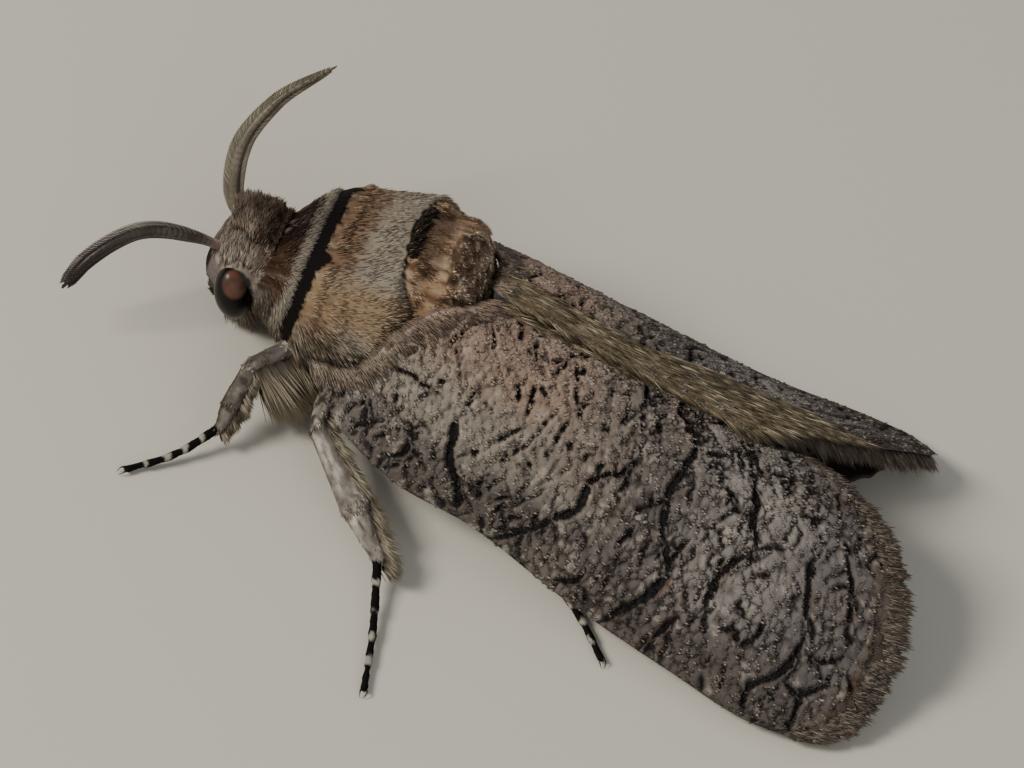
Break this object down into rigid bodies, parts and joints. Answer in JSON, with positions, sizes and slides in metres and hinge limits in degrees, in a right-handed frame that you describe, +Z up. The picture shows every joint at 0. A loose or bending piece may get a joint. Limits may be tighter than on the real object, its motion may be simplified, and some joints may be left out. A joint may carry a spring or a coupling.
{
  "type": "culama suffusca moth, still life-size model",
  "caption": "Life-size still model of a culama suffusca moth at rest, wings folded like a roof over the body, standing on its feet with its feelers spread.",
  "frame": {"origin": "on the floor that the feet stand on, under the middle of the model's box", "axes": "+Z up, +Y from the head towards the wing tips, +X towards the moth's left"},
  "size_m": [0.0192, 0.0295, 0.0081],
  "materials": {
    "wing_scales": "matt grey-brown scales with black cracks",
    "hair_scales": "matt fawn, grey and black hair-like scales",
    "leg_scales": "matt grey scales, black and cream bands on the tarsi",
    "dark_scales": "matt black-brown scales",
    "antenna": "satin olive-brown horn with fine branches",
    "eye": "glossy dark red-brown cornea"
  },
  "bodies": {
    "root": {"head": "hair_scales", "collar": "hair_scales", "thorax": "hair_scales", "metathorax": "hair_scales", "abdomen": "hair_scales", "eye_left": "eye", "palp_left": "dark_scales", "antenna_left": "antenna", "forewing_left": "wing_scales", "hindwing_left": "wing_scales", "leg_fore_left_femur": "leg_scales", "leg_fore_left_tibia": "leg_scales", "leg_fore_left_tarsus": "leg_scales", "leg_mid_left_femur": "leg_scales", "leg_mid_left_tibia": "leg_scales", "leg_mid_left_tarsus": "leg_scales", "leg_hind_left_femur": "leg_scales", "leg_hind_left_tibia": "leg_scales", "leg_hind_left_tarsus": "leg_scales", "eye_right": "eye", "palp_right": "dark_scales", "antenna_right": "antenna", "forewing_right": "wing_scales", "hindwing_right": "wing_scales", "leg_fore_right_femur": "leg_scales", "leg_fore_right_tibia": "leg_scales", "leg_fore_right_tarsus": "leg_scales", "leg_mid_right_femur": "leg_scales", "leg_mid_right_tibia": "leg_scales", "leg_mid_right_tarsus": "leg_scales", "leg_hind_right_femur": "leg_scales", "leg_hind_right_tibia": "leg_scales", "leg_hind_right_tarsus": "leg_scales"}
  },
  "joints": []
}
